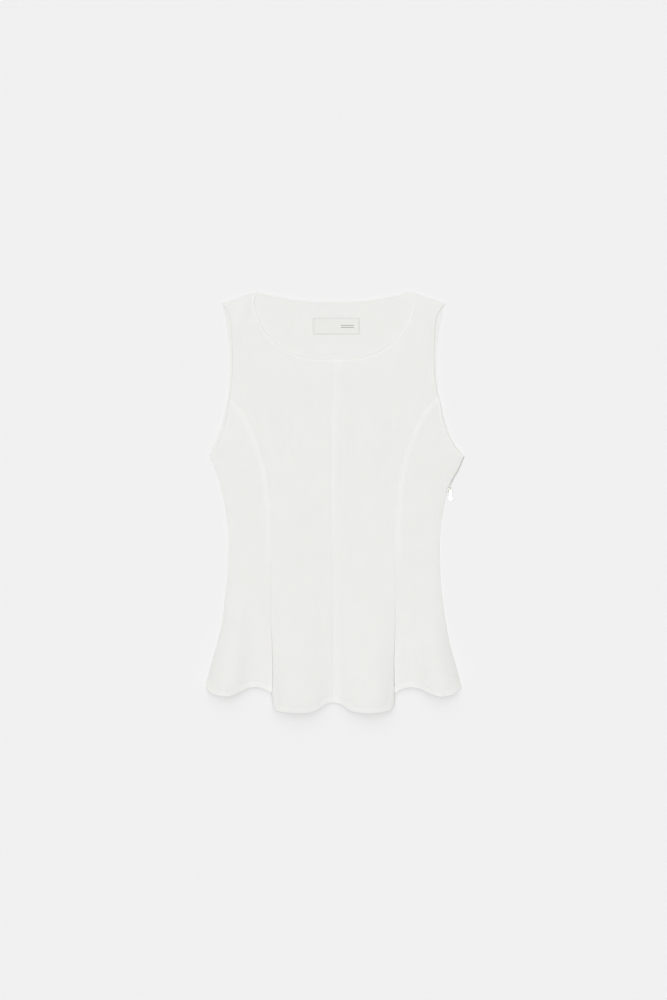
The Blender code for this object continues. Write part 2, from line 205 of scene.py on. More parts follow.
def distance(points, line):
    """How far each point is from a line, in the plane or in space."""
    flat = points.reshape(-1, points.shape[-1])
    nearest = np.full(len(flat), np.inf)
    for start, end in zip(line[:-1], line[1:]):
        step = end - start
        share = np.clip((flat - start) @ step / max(step @ step, 1e-12), 0, 1)
        nearest = np.minimum(nearest, np.linalg.norm(flat - start - share[:, None] * step, axis=1))
    return nearest.reshape(points.shape[:-1])


def coarse(line, most=60):
    """The same line with fewer points."""
    return along(line, np.linspace(0, 1, most + 1))


def zip_room(y, side):
    if side < 0:
        return np.zeros_like(y)
    share = np.clip((y - ZIP_ROOM_FROM) / (ZIP_ROOM_FULL - ZIP_ROOM_FROM), 0, 1)
    return ZIP_ROOM * share * share * (3 - 2 * share)


def inset(points, u, inner_gap, outer_gap, side):
    """Moves a panel's long edges in, so that a seam's two pieces stay apart."""
    share = u[:, None]
    points[..., 0] += side * (inner_gap * (1 - share) ** 6 - outer_gap * share**6)
    return points


def band(d, width, height):
    """A layer turned under an edge, with a shallow line where it ends."""
    raised = height / (1 + np.exp((d - width) / LAYER_END))
    return raised - GROOVE_DEPTH * np.exp(-(((d - width) / GROOVE_WIDTH) ** 2))


def rounded(d):
    """How far a folded edge falls away close to the fold."""
    inside = np.clip(EDGE_ROUND - d, 0, EDGE_ROUND)
    return EDGE_ROUND - np.sqrt(np.maximum(EDGE_ROUND**2 - inside**2, 0))


def seam_groove(d):
    """Two pieces turn down into the seam that joins them."""
    return -GROOVE_DEPTH * np.exp(-((d / GROOVE_WIDTH) ** 2))


def allowance(d, width=10.0, height=0.3):
    """Seam allowance pressed to this side, felt through the cloth."""
    return height / (1 + np.exp((d - width) / 0.9))


def creases(x, y, rows):
    """Soft troughs and ridges. Columns: start x, y, end x, y, half width, height."""
    total = np.zeros_like(x)
    for x0, y0, x1, y1, half_width, height in rows:
        dx, dy = x1 - x0, y1 - y0
        reach = math.hypot(dx, dy)
        t = ((x - x0) * dx + (y - y0) * dy) / reach**2
        off = ((x - x0) * dy - (y - y0) * dx) / reach
        bend = 0.05 * reach * np.sin(np.clip(t, 0, 1) * math.pi)
        fade = np.sin(np.clip(t, 0, 1) * math.pi) ** 0.8
        total += height * fade * np.exp(-(((off - bend) / half_width) ** 2))
    return total


def unevenness(x, y, height):
    """The slow, slight unevenness of cloth that has been pressed and laid out."""
    return height * (
        np.sin(x / 17.0 + 1.3 * np.sin(y / 41.0))
        + 0.7 * np.sin(y / 29.0 + 0.9 * np.sin(x / 37.0) + 1.1)
        + 0.5 * np.sin((x + y) / 11.5 + 2.0)
    ) / 2.2


def shell(name, upper, under, material, node, layers=None):
    """A closed thin shell between two grids of points that match.

    The last argument lightens the upper face's colour, partly for turned cloth
    under each point, which is more opaque and whiter, and partly as painted highlight along turned edges and
    on the lit side of seams.
    """
    across, rows = upper.shape[:2]
    count = across * rows
    index = np.arange(count).reshape(across, rows)
    quads = np.stack([index[:-1, :-1], index[1:, :-1], index[1:, 1:], index[:-1, 1:]], axis=-1).reshape(-1, 4)
    ring = np.concatenate([index[:, 0], index[-1, 1:], index[-2::-1, -1], index[0, -2:0:-1]])
    after = np.roll(ring, -1)
    rim = np.stack([ring, ring + count, after + count, after], axis=1)
    facing = np.cross(upper[-1, 0] - upper[0, 0], upper[0, -1] - upper[0, 0])[2]
    if facing > 0:
        faces = [quads, quads[:, ::-1] + count, rim]
    else:
        faces = [quads[:, ::-1], quads + count, rim[:, ::-1]]
    points = np.concatenate([upper.reshape(-1, 3), under.reshape(-1, 3)]) * MM
    mesh = bpy.data.meshes.new(name)
    mesh.from_pydata(points.tolist(), [], np.concatenate(faces).tolist())
    mesh.shade_smooth()
    mesh.materials.append(material)
    if layers is not None:
        doubled_and_highlight = mesh.attributes.new("layers", "FLOAT", "POINT")
        values = np.concatenate([layers.ravel(), np.zeros(count)])
        doubled_and_highlight.data.foreach_set("value", values.astype(np.float32))
    piece = bpy.data.objects.new(name, mesh)
    bpy.context.collection.objects.link(piece)
    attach(piece, "garment")
    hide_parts(node)
    return piece


def surface_area(points):
    """Square metres of a grid of points in millimetres."""
    first = np.cross(points[1:, :-1] - points[:-1, :-1], points[:-1, 1:] - points[:-1, :-1])
    second = np.cross(points[:-1, 1:] - points[1:, 1:], points[1:, :-1] - points[1:, 1:])
    return float((np.linalg.norm(first, axis=-1) + np.linalg.norm(second, axis=-1)).sum() / 2 * MM * MM)


class Signal:
    """A shader socket that takes part in sums and products."""

    def __init__(self, tree, socket=None):
        self.tree = tree
        self.socket = socket

    def node(self, kind, settings=None, inputs=None, output=0):
        made = self.tree.nodes.new(kind)
        for name, value in (settings or {}).items():
            if name == "stops":
                ramp = made.color_ramp
                for _ in value[2:]:
                    ramp.elements.new(0.5)
                for element, (position, colour) in zip(ramp.elements, value):
                    element.position = position
                    element.color = (*colour, 1)
            else:
                setattr(made, name, value)
        for name, value in (inputs or {}).items():
            if isinstance(value, Signal):
                self.tree.links.new(value.socket, made.inputs[name])
            else:
                made.inputs[name].default_value = value
        return Signal(self.tree, made.outputs[output])

    def maths(self, operation, *others):
        return self.node("ShaderNodeMath", {"operation": operation}, dict(enumerate((self, *others))))

    def __add__(self, other):
        return self.maths("ADD", other)

    __radd__ = __add__

    def __mul__(self, other):
        return self.maths("MULTIPLY", other)

    __rmul__ = __mul__


def new_finish(name, **constants):
    """A material, its shader node and a signal that starts its other nodes."""
    material = bpy.data.materials.new(name)
    material.use_nodes = True
    shader = material.node_tree.nodes["Principled BSDF"]
    for socket, value in constants.items():
        shader.inputs[socket.replace("_", " ")].default_value = value
    return material, shader, Signal(material.node_tree)


def in_millimetres(start):
    """The object's own coordinates in millimetres, whole and as x, y, z."""
    place = start.node("ShaderNodeTexCoord", output=3)
    place = start.node("ShaderNodeVectorMath", {"operation": "SCALE"}, {0: place, "Scale": 1 / MM})
    parts = [start.node("ShaderNodeSeparateXYZ", None, {0: place}, output=i) for i in range(3)]
    return place, parts


def crepe(name):
    """Matt crepe: a fine irregular grain over crossed threads, slightly slubbed."""
    material, shader, start = new_finish(
        name,
        Roughness=0.92,
        Sheen_Weight=0.08,
        Sheen_Roughness=0.5,
        Subsurface_Weight=1.0,
        Subsurface_Scale=0.0006,
        Subsurface_Radius=(1.0, 0.98, 0.9),
    )
    place, (x, y, _) = in_millimetres(start)
    slub_place = start.node(
        "ShaderNodeMapping", {"vector_type": "POINT"}, {"Vector": place, "Scale": (0.42, 0.035, 0.2)}
    )
    slub = start.node("ShaderNodeTexNoise", None, {"Vector": slub_place, "Scale": 1.0, "Detail": 4.0})
    cloud = start.node("ShaderNodeTexNoise", None, {"Vector": place, "Scale": 0.03, "Detail": 3.0})
    grain = start.node("ShaderNodeTexNoise", None, {"Vector": place, "Scale": 1.7, "Detail": 5.0})
    warp = (x * (2 * math.pi / 0.62) + grain * 2.4).maths("SINE")
    weft = (y * (2 * math.pi / 0.55) + grain * 2.4).maths("SINE")
    weave = warp * weft * 0.5 + 0.5
    tone = slub * 0.25 + cloud * 0.25 + grain * 0.35 + weave * 0.15
    # Lighter where the mesh attribute is high: partly real, where turned cloth lies under the face and is
    # more opaque, and partly painted highlight along turned edges and on the lit side of seams.
    doubled_and_highlight = start.node("ShaderNodeAttribute", {"attribute_name": "layers"}, output=2)
    tone = tone + doubled_and_highlight * 0.3
    colour = start.node(
        "ShaderNodeValToRGB",
        {"stops": ((0.2, (0.796, 0.794, 0.776)), (0.5, (0.810, 0.809, 0.792)), (1.0, (0.858, 0.857, 0.845)))},
        {0: tone},
    )
    height = grain * 0.6 + weave * 0.25 + slub * 0.3
    bump = start.node("ShaderNodeBump", None, {"Strength": 0.2, "Distance": 0.0002, "Height": height})
    start.tree.links.new(colour.socket, shader.inputs["Base Color"])
    start.tree.links.new(bump.socket, shader.inputs["Normal"])
    return material


outer_cloth = crepe("crepe")
SIDES = ((-1, "right"), (1, "left"))
HALF_BACK_CELLS = 40
NECK_SHARE = 4 / 6        # the share of a half's width that the neck edge takes
BACK_UPPER_SHARE = 13 / 42
u = stations(190, HALF_BACK_CELLS, (), CLOSE_TO_EDGE)
u = np.unique(np.append(u, NECK_SHARE))
v = stations(590, 120, CLOSE_TO_EDGE, CLOSE_TO_HEM)
v = np.unique(np.append(v, BACK_UPPER_SHARE))
above = np.clip(v / BACK_UPPER_SHARE, 0, 1)
below = np.clip((v - BACK_UPPER_SHARE) / (1 - BACK_UPPER_SHARE), 0, 1)
upper_rows = (v <= BACK_UPPER_SHARE)[:, None]
halves = []
for side, _ in SIDES:
    neck = smooth_line(from_middle(BACK_NECK, side))
    armhole = smooth_line(one_side(BACK_ARMHOLE, side))
    side_seam = smooth_line(one_side(SIDE_SEAM, side))
    hem_rows = from_middle(BACK_HEM, side)
    hem_rows[-1] = tuple(side_seam[-1])
    hem = smooth_line(hem_rows)
    top = np.where(
        (u <= NECK_SHARE)[:, None],
        along(neck, np.clip(u / NECK_SHARE, 0, 1)),
        along(np.array([neck[-1], armhole[0]]), np.clip((u - NECK_SHARE) / (1 - NECK_SHARE), 0, 1)),
    )
    armpit = (CENTRE_X, side_seam[0][1])
    upper_middle = along(np.array([neck[0], armpit]), above)
    inner = np.where(upper_rows, upper_middle, along(np.array([armpit, hem[0]]), below))
    outer = np.where(upper_rows, along(armhole, above), along(side_seam, below))
    plan = between_edges(top, along(hem, u), inner, outer, u, v)
    plan = inset(plan, u, 0, zip_room(plan[-1, :, 1], side), side)
    edges = {"neck": neck, "armhole": armhole, "side": side_seam, "hem": hem}
    away = {name: distance(plan, coarse(line)) for name, line in edges.items()}
    away["dart"] = distance(plan, coarse(smooth_line(from_middle(BACK_DART, side))))
    halves.append((plan, away))
right, left = halves
plan = np.concatenate([right[0][::-1], left[0][1:]])
away = {name: np.concatenate([right[1][name][::-1], left[1][name][1:]]) for name in left[1]}
x, y = plan[..., 0], plan[..., 1]
to_edge = np.minimum.reduce([away["neck"], away["armhole"], away["side"], away["hem"]])
turned = band(away["neck"], TURNED_EDGE, BACK_TURNING) + band(away["hem"], TURNED_HEM, BACK_TURNING)
turned += band(away["armhole"], TURNED_EDGE, BACK_ARMHOLE_TURNING)
over = BACK_INSIDE - rounded(to_edge) + turned + unevenness(x, y, BACK_UNEVENNESS)
dart_depth = np.clip((BACK_DART[0][1] - y) / 20, 0, 1)
under = rounded(to_edge) * 0.9 + 0.3 * np.exp(-((away["dart"] / 0.9) ** 2)) * dart_depth
back_points = np.dstack([x, y, over])
back_layers_and_highlight = allowance(away["neck"], TURNED_EDGE, 1.0) + allowance(away["hem"], TURNED_HEM, 1.0)
back_cloth = shell("back_cloth", back_points, np.dstack([x, y, under]), outer_cloth, "back", back_layers_and_highlight)
surface_area(back_points)
neck_columns = np.abs(x[:, 0] - CENTRE_X) <= NECK_POINT[0]
row = int(np.argmin(np.abs(away["neck"][len(plan) // 2] - TURNED_EDGE)))
back_neck_row = back_points[neck_columns, row]


# Stitching on the back
# Cotton thread in short, even stitches: it holds the turned edge of the back
# neck and, with the same machine, the hems.
STITCH_PITCH = 2.9
STITCH_LENGTH = 2.35
THREAD_RADIUS = 0.17
STITCH_SIDES = 6
STITCH_PROFILE = (    # share of its length, thickness, height over the cloth
    (0.0, 0.25, -0.16),
    (0.12, 0.8, 0.02),
    (0.5, 1.0, 0.1),
    (0.88, 0.8, 0.02),
    (1.0, 0.25, -0.16),
)


def thread_finish():
    material, shader, start = new_finish("sewing_thread", Roughness=0.65, Sheen_Weight=0.2)
    place, (x, y, _) = in_millimetres(start)
    twist = ((x + y) * (2 * math.pi / 0.35)).maths("SINE") * 0.5 + 0.5
    colour = start.node(
        "ShaderNodeMix",
        {"data_type": "RGBA"},
        {0: twist, 6: (0.74, 0.735, 0.70, 1), 7: (0.83, 0.825, 0.80, 1)},
        output=2,
    )
    bump = start.node("ShaderNodeBump", None, {"Strength": 0.3, "Distance": 0.00005, "Height": twist})
    start.tree.links.new(colour.socket, shader.inputs["Base Color"])
    start.tree.links.new(bump.socket, shader.inputs["Normal"])
    return material


def stitches(name, line, material):
    """A row of stitches along a line on the cloth, as one joined mesh."""
    lift = np.array([0.0, 0.0, 1.0])
    total = length_of(line)
    count = int((total - 2) / STITCH_PITCH)
    starts = (total - count * STITCH_PITCH) / 2 + np.arange(count) * STITCH_PITCH
    around = np.linspace(0, 2 * math.pi, STITCH_SIDES, endpoint=False)
    points, faces = [], []
    for begin in starts:
        first = len(points)
        for share, thick, height in STITCH_PROFILE:
            at = begin + share * STITCH_LENGTH
            centre, ahead = along(line, [at / total, min(1, (at + 0.3) / total)])
            forward = ahead - centre
            forward /= max(np.linalg.norm(forward), 1e-9)
            sideways = np.cross(forward, lift)
            sideways /= np.linalg.norm(sideways)
            upward = np.cross(sideways, forward)
            for angle in around:
                reach = THREAD_RADIUS * thick
                off = math.cos(angle) * sideways + math.sin(angle) * upward
                points.append(centre + upward * height + off * reach)
        rings = len(STITCH_PROFILE)
        for ring in range(rings - 1):
            for step in range(STITCH_SIDES):
                a = first + ring * STITCH_SIDES + step
                b = first + ring * STITCH_SIDES + (step + 1) % STITCH_SIDES
                faces.append((a, b, b + STITCH_SIDES, a + STITCH_SIDES))
        faces.append(tuple(range(first + STITCH_SIDES - 1, first - 1, -1)))
        last = first + (rings - 1) * STITCH_SIDES
        faces.append(tuple(range(last, last + STITCH_SIDES)))
    mesh = bpy.data.meshes.new(name)
    mesh.from_pydata((np.array(points) * MM).tolist(), [], faces)
    mesh.shade_smooth()
    mesh.materials.append(material)
    piece = bpy.data.objects.new(name, mesh)
    bpy.context.collection.objects.link(piece)
    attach(piece, "garment")
    return piece


thread = thread_finish()
stitches("back_neck_stitches", back_neck_row, thread)

# The neck label
# A strip of woven satin with folded ends, sewn to the back inside the neck.
# It carries two plain woven bars and nothing else.
LABEL_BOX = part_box("neck_label")
LABEL_FOLD = 2.2
LABEL_THIN = 0.45
LABEL_END_STITCH = 1.1
LABEL_TOP_STITCH = 0.9
LABEL_CELLS_CLOSE = (0.1, 0.3, 0.6)
LABEL_FOLD_CELLS = (1.6, 2.2, 2.8)
# Columns: start x, end x, y of the bar's middle.
LABEL_BARS = ((9.0, 28.0, 261.1), (9.0, 28.0, 258.1))
LABEL_BAR_HIGH = 1.0


def label_finish():
    material, shader, start = new_finish("label_weave", Roughness=0.42, Sheen_Weight=0.1)
    place, (x, y, _) = in_millimetres(start)
    rib = (x * (2 * math.pi / 0.34)).maths("SINE") * 0.5 + 0.5
    pick = (y * (2 * math.pi / 0.5)).maths("SINE") * 0.5 + 0.5
    mottle = start.node("ShaderNodeTexNoise", None, {"Vector": place, "Scale": 0.6, "Detail": 3.0})
    bars = None
    for low, high, height in LABEL_BARS:
        inside = x.maths("GREATER_THAN", low) * x.maths("LESS_THAN", high)
        bar = inside * (y + -height).maths("ABSOLUTE").maths("LESS_THAN", LABEL_BAR_HIGH / 2)
        bars = bar if bars is None else bars + bar
    plain = start.node(
        "ShaderNodeMix",
        {"data_type": "RGBA"},
        {0: mottle * 0.6 + rib * 0.4, 6: (0.682, 0.686, 0.654, 1), 7: (0.719, 0.724, 0.689, 1)},
        output=2,
    )
    colour = start.node(
        "ShaderNodeMix", {"data_type": "RGBA"}, {0: bars * 0.85, 6: plain, 7: (0.16, 0.16, 0.15, 1)}, output=2
    )
    height = rib * 0.6 + pick * 0.4 + bars * 0.8
    bump = start.node("ShaderNodeBump", None, {"Strength": 0.3, "Distance": 0.00008, "Height": height})
    start.tree.links.new(colour.socket, shader.inputs["Base Color"])
    start.tree.links.new(bump.socket, shader.inputs["Normal"])
    return material


low, high = np.array(LABEL_BOX[0]) / MM, np.array(LABEL_BOX[1]) / MM
label_ends = LABEL_CELLS_CLOSE + LABEL_FOLD_CELLS
u = stations(high[0] - low[0], 46, label_ends, label_ends)
v = stations(high[1] - low[1], 18, LABEL_CELLS_CLOSE, LABEL_CELLS_CLOSE)
x = (low[0] + (high[0] - low[0]) * u)[:, None] + np.zeros(len(v))
y = (high[1] - (high[1] - low[1]) * v)[None, :] + np.zeros((len(u), 1))
to_end = np.minimum(x - low[0], high[0] - x)
to_long_edge = np.minimum(y - low[1], high[1] - y)
folded = LABEL_THIN * 0.8 / (1 + np.exp((to_end - LABEL_FOLD) / 0.18))
drape = 0.16 * np.sin((x - low[0]) / 9.5) * np.sin((y - low[1]) / 8.0 + 0.4) + 0.12
fall = 0.22 * np.exp(-((to_long_edge / 0.35) ** 2)) + 0.22 * np.exp(-((to_end / 0.35) ** 2))
over = low[2] + LABEL_THIN + folded + drape - fall
under = low[2] + drape * 0.5 - 0.05 + fall * 0.4
label_points = np.dstack([x, y, over])
label = shell("neck_label_cloth", label_points, np.dstack([x, y, under]), label_finish(), "neck_label")
for name, from_end in (("start", u), ("end", 1 - u)):
    column = int(np.argmin(np.abs(from_end * (high[0] - low[0]) - LABEL_END_STITCH)))
    stitches(f"label_{name}_stitches", label_points[column, 2:-2], thread)
long_row = int(np.argmin(np.abs(v * (high[1] - low[1]) - LABEL_TOP_STITCH)))
stitches("label_top_stitches", label_points[2:-2, long_row], thread)

# The four front gores
# The same crepe, cut as two centre gores from the shoulder and two side gores
# from the armhole, joined by curved princess seams. Each opens in one flute.
FRONT_EDGE_TOP = 2.7   # height of the front's outer face along its edges
BODY_LIFT = 3.6
CROWN_POWER = 5
NECK_EASE = 26.0
HEM_ROLL = 0.2
HEM_ROLL_LENGTH = 28.0
SHOULDER_TIP = (164.5, 293.5)
SHOULDER_EASE = 45.0
FLUTE_START_Y = -118.0
FLUTE_GROWTH = 1.1
CLOTH_THICK = 0.9
OVER_BACK = 0.12      # the least air between the front and the back
FRONT_UNEVENNESS = 0.14
NECK_TURNING = 0.24
ARMHOLE_TURNING = 0.12
# How the cloth falls towards an edge. Columns: depth, over what width.
SHOULDER_FALL = (0.8, 3.0)
NECK_FALL = (0.4, 8.0)
SIDE_FALL = (0.8, 5.0)
# The centre seam's allowance is pressed to the wearer's left, as a step, and
# the right gore swells a little up to it. Columns: width, height.
CENTRE_ALLOWANCE = (11.0, 0.7)
CENTRE_SWELL = (3.4, 0.7)
PRINCESS_ALLOWANCE = (10.0, 0.4)
HEM_STITCH_INSIDE = 0.7
FRONT_ARMHOLE = (
    (-166.6, 163.0, 293.4),
    (-161.3, 156.4, 285.5),
    (-156.9, 151.0, 276.6),
    (-153.9, 148.0, 263.3),
    (-152.4, 147.0, 239.6),
    (-151.4, 146.4, 213.0),
    (-152.3, 147.4, 186.3),
    (-155.3, 152.5, 155.3),
)
FRONT_LOWER_ARMHOLE = (
    (-155.3, 152.5, 155.3),
    (-156.9, 155.6, 144.9),
    (-163.4, 161.9, 113.8),
    (-174.6, 176.9, 82.7),
    (-186.3, 191.8, 67.9),
)
# Edges that are alike on both sides. Columns: distance from the middle, y.
PRINCESS_SEAM = (
    (153.9, 155.3),
    (137.8, 139.0),
    (124.3, 119.7),
    (114.9, 97.5),
    (105.5, 69.4),
    (96.6, 35.4),
    (93.0, -1.6),
    (91.4, -49.0),
    (92.0, -111.1),
    (92.2, -174.8),
    (90.1, -234.0),
    (91.0, -282.8),
)
FRONT_NECK = (
    (0.0, 211.5),
    (31.8, 211.8),
    (58.2, 218.3),
    (81.4, 231.3),
    (98.1, 248.9),
    (109.5, 268.5),
    (115.4, 285.5),
    (116.9, 298.8),
    NECK_POINT,
)
# The fluted hem. Columns: distance from the middle, y, rise over the flat cloth.
CENTRE_HEM = (
    (0.0, -296.9, 1.2),
    (5.0, -297.5, 2.0),
    (10.7, -299.0, 4.0),
    (16.0, -302.6, 6.2),
    (22.5, -307.0, 8.6),
    (30.0, -309.9, 10.9),
    (37.3, -311.4, 12.7),
    (45.0, -312.0, 14.0),
    (52.1, -312.0, 14.8),
    (60.0, -311.7, 14.9),
    (67.4, -311.2, 14.0),
    (74.0, -310.4, 12.0),
    (80.0, -309.4, 9.4),
    (85.0, -307.8, 6.6),
    (88.3, -303.5, 4.6),
    (90.2, -294.0, 2.9),
    (91.0, -282.8, 1.5),
)
SIDE_HEM = (
    (91.0, -282.8, 1.5),
    (97.0, -279.5, 2.6),
    (104.0, -276.4, 3.4),
    (112.0, -274.5, 3.6),
    (120.0, -274.3, 3.6),
    (129.0, -276.9, 5.2),
    (137.9, -281.3, 8.4),
    (146.8, -285.0, 11.6),
    (155.7, -287.2, 13.4),
    (162.0, -287.4, 13.6),
    (168.0, -286.8, 12.6),
    (175.0, -285.2, 9.8),
    (182.0, -281.8, 5.6),
    (189.5, -273.9, 0.0),
)
# The centre seam. Columns: x from the middle, y.
CENTRE_FRONT = (
    (1.0, 211.5),
    (-1.5, 130.0),
    (-1.9, -30.0),
    (-1.4, -150.0),
    (0.0, -296.9),
)
CENTRE_UPPER_SHARE = 11 / 38
# Creases of the laid-out front. Columns: start x, y, end x, y, half width, height.
FRONT_CREASES = (
    (-103.0, 180.0, -87.0, -14.0, 7.0, -0.55),
    (-97.0, 190.0, -78.0, -30.0, 15.0, -0.60),
    (-72.0, 150.0, -68.0, 44.0, 4.6, -0.50),
    (-59.0, 132.0, -58.0, 60.0, 3.4, -0.34),
    (-80.0, 92.0, -77.0, 6.0, 3.4, -0.32),
    (-40.0, 140.0, -36.0, 60.0, 6.0, -0.26),
    (99.0, 184.0, 79.0, -14.0, 7.0, -0.55),
    (93.0, 192.0, 72.0, -30.0, 15.0, -0.55),
    (66.0, 166.0, 62.0, 52.0, 4.4, -0.52),
    (53.0, 128.0, 54.0, 40.0, 3.6, -0.34),
    (74.0, 90.0, 71.0, 2.0, 3.2, -0.34),
    (34.0, 130.0, 32.0, 50.0, 6.0, -0.24),
    (-180.0, 62.0, -140.0, 74.0, 3.6, -0.50),
    (-176.0, 50.0, -146.0, 42.0, 3.2, -0.36),
    (-172.0, 80.0, -134.0, 104.0, 4.2, 0.34),
    (183.0, 60.0, 142.0, 80.0, 3.8, -0.52),
    (174.0, 40.0, 148.0, 44.0, 3.0, -0.36),
    (170.0, 84.0, 132.0, 110.0, 4.2, 0.36),
    (-118.0, 292.0, -136.0, 240.0, 4.6, -0.55),
    (-126.0, 298.0, -149.0, 262.0, 3.6, 0.30),
    (112.0, 292.0, 128.0, 236.0, 4.6, -0.58),
    (120.0, 298.0, 142.0, 266.0, 3.6, 0.30),
    (-121.0, 286.0, -128.0, 268.0, 2.2, -0.50),
    (-132.0, 284.0, -136.0, 268.0, 2.4, -0.34),
    (116.0, 285.0, 122.0, 266.0, 2.2, -0.52),
    (127.0, 282.0, 131.0, 266.0, 2.4, -0.34),
    (-150.0, 196.0, -112.0, 152.0, 5.0, -0.45),
    (146.0, 192.0, 108.0, 150.0, 5.0, -0.45),
    (-153.0, -52.0, -118.0, -62.0, 3.8, -0.34),
    (-151.0, -74.0, -124.0, -70.0, 3.2, 0.24),
    (150.0, -48.0, 116.0, -60.0, 3.8, -0.34),
    (148.0, -72.0, 122.0, -76.0, 3.4, 0.24),
    (-20.0, -120.0, -13.0, -226.0, 5.0, -0.50),
    (-12.5, -112.0, -12.0, -186.0, 3.0, 0.34),
    (16.0, -126.0, 9.0, -236.0, 5.0, -0.42),
    (-128.0, -120.0, -134.0, -236.0, 7.0, -0.60),
    (124.0, -118.0, 130.0, -236.0, 7.0, -0.60),
)


def outer_x(y, side):
    """The garment's outer edge at a height, armhole or side seam."""
    line = np.array(one_side(BACK_ARMHOLE, side) + one_side(SIDE_SEAM, side)[1:])
    return np.interp(-y, -line[:, 1], line[:, 0])


def body_lift(x, y):
    """How far the front's cloth stands over its edge height, without flutes."""
    right, left = outer_x(y, -1), outer_x(y, 1)
    crown = 1 - np.clip(np.abs((2 * x - right - left) / (left - right)), 0, 1) ** CROWN_POWER
    slope = (SHOULDER_TIP[1] - NECK_POINT[1]) / (SHOULDER_TIP[0] - NECK_POINT[0])
    shoulder_y = NECK_POINT[1] + slope * (np.abs(x - CENTRE_X) - NECK_POINT[0])
    below = np.clip((shoulder_y - y) / SHOULDER_EASE, 0, 1)
    mirrored = np.stack([np.abs(x - CENTRE_X) + CENTRE_X, y], axis=-1)
    from_neck = distance(mirrored, coarse(smooth_line(from_middle(FRONT_NECK, 1))))
    inside = np.clip(from_neck / NECK_EASE, 0, 1)
    return BODY_LIFT * crown * below * (2 - below) * inside * (2 - inside)


def gore(plan, hem):
    """A gore's outer face in space, from its plan and its hem's rise."""
    x, y = plan[..., 0], plan[..., 1]
    hem_y = hem[:, None, 1]
    opened = np.clip((FLUTE_START_Y - y) / (FLUTE_START_Y - hem_y), 0, 1) ** FLUTE_GROWTH
    rolled = np.clip((hem_y + HEM_ROLL_LENGTH - y) / HEM_ROLL_LENGTH, 0, 1) ** 2
    rise = hem[:, None, 2] * opened * (1 - HEM_ROLL * rolled)
    return np.dstack([x, y, FRONT_EDGE_TOP + body_lift(x, y) * (1 - opened) + rise])


def fall(d, depth_and_width):
    """How far the cloth has fallen at a distance from an edge."""
    depth, width = depth_and_width
    return depth * np.exp(-((d / width) ** 2))


def facing(points):
    """Unit normals of a grid of points, turned upwards."""
    normal = np.cross(np.gradient(points, axis=0), np.gradient(points, axis=1))
    normal /= np.maximum(np.linalg.norm(normal, axis=-1, keepdims=True), 1e-9)
    return normal * np.where(normal[..., 2:3] < 0, -1, 1)


def finished_gore(name, points, relief, to_edge, layers):
    """A gore's shell: relief on the outer face, folded edges rounded on both."""
    normal = facing(points)
    folded_in = rounded(to_edge)[..., None]
    outside = points + normal * (relief[..., None] - folded_in)
    inside = points + normal * (np.minimum(relief, 0)[..., None] * 0.8 - CLOTH_THICK + folded_in * 0.9)
    inside[..., 2] = np.maximum(inside[..., 2], BACK_INSIDE + OVER_BACK)
    piece = shell(f"{name}_cloth", outside, inside, outer_cloth, name, layers)
    surface_area(outside)
    return outside


